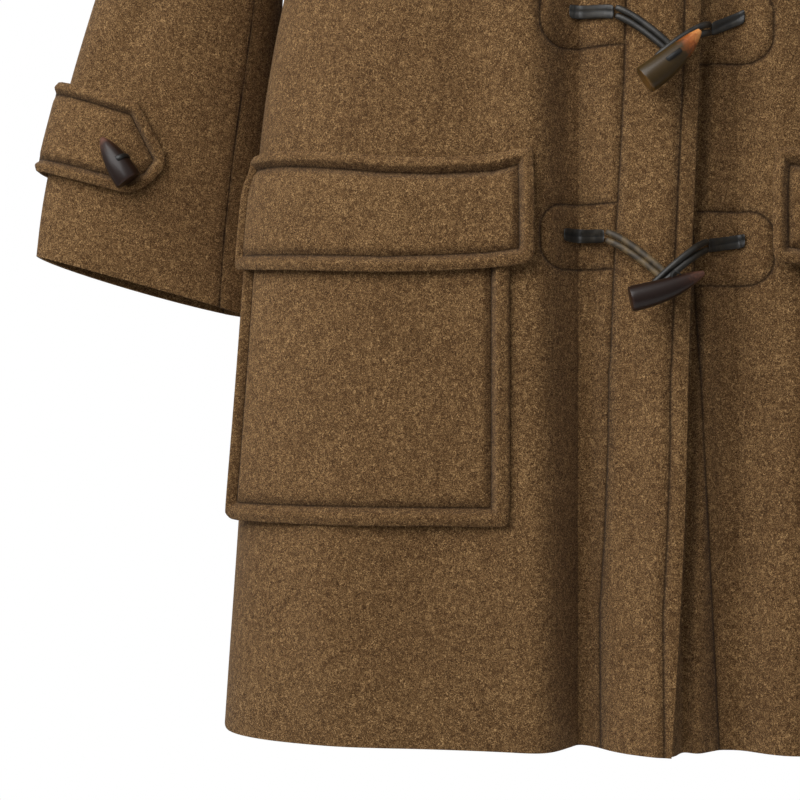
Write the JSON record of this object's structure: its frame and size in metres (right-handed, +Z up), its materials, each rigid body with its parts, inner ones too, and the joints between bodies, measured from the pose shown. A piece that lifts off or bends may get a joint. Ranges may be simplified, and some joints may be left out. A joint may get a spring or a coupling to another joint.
{
  "type": "duffle coat",
  "caption": "Knee-length hooded wool duffle coat with flapped patch pockets, horn toggles on leather thongs and tabbed cuffs, to be worn over other clothes.",
  "frame": {"origin": "in the neck at the level of the neck points, where the shoulders carry the coat", "axes": "+Z up, coat faces -Y, wearer's left at +X"},
  "size_m": [0.8706, 0.311, 1.177],
  "materials": {
    "wool": "thick milled wool with a short nap",
    "leather": "dark waxed leather",
    "horn": "polished brown horn with amber tips"
  },
  "bodies": {
    "root": {"front_right": "wool", "front_left": "wool", "back": "wool", "sleeve_right_top": "wool", "sleeve_right_under": "wool", "sleeve_left_top": "wool", "sleeve_left_under": "wool", "hood_right": "wool", "hood_left": "wool", "pocket_right": "wool", "pocket_left": "wool", "flap_right": "wool", "flap_left": "wool", "cuff_tab_right": "wool", "cuff_tab_left": "wool", "cuff_toggle_right": "horn", "cuff_toggle_left": "horn", "tab_right_1": "leather", "loop_right_1": "leather", "tab_left_1": "leather", "loop_left_1": "leather", "toggle_1": "horn", "tab_right_2": "leather", "loop_right_2": "leather", "tab_left_2": "leather", "loop_left_2": "leather", "toggle_2": "horn", "tab_right_3": "leather", "loop_right_3": "leather", "tab_left_3": "leather", "loop_left_3": "leather", "toggle_3": "horn", "tab_right_4": "leather", "loop_right_4": "leather", "tab_left_4": "leather", "loop_left_4": "leather", "toggle_4": "horn"}
  },
  "joints": []
}
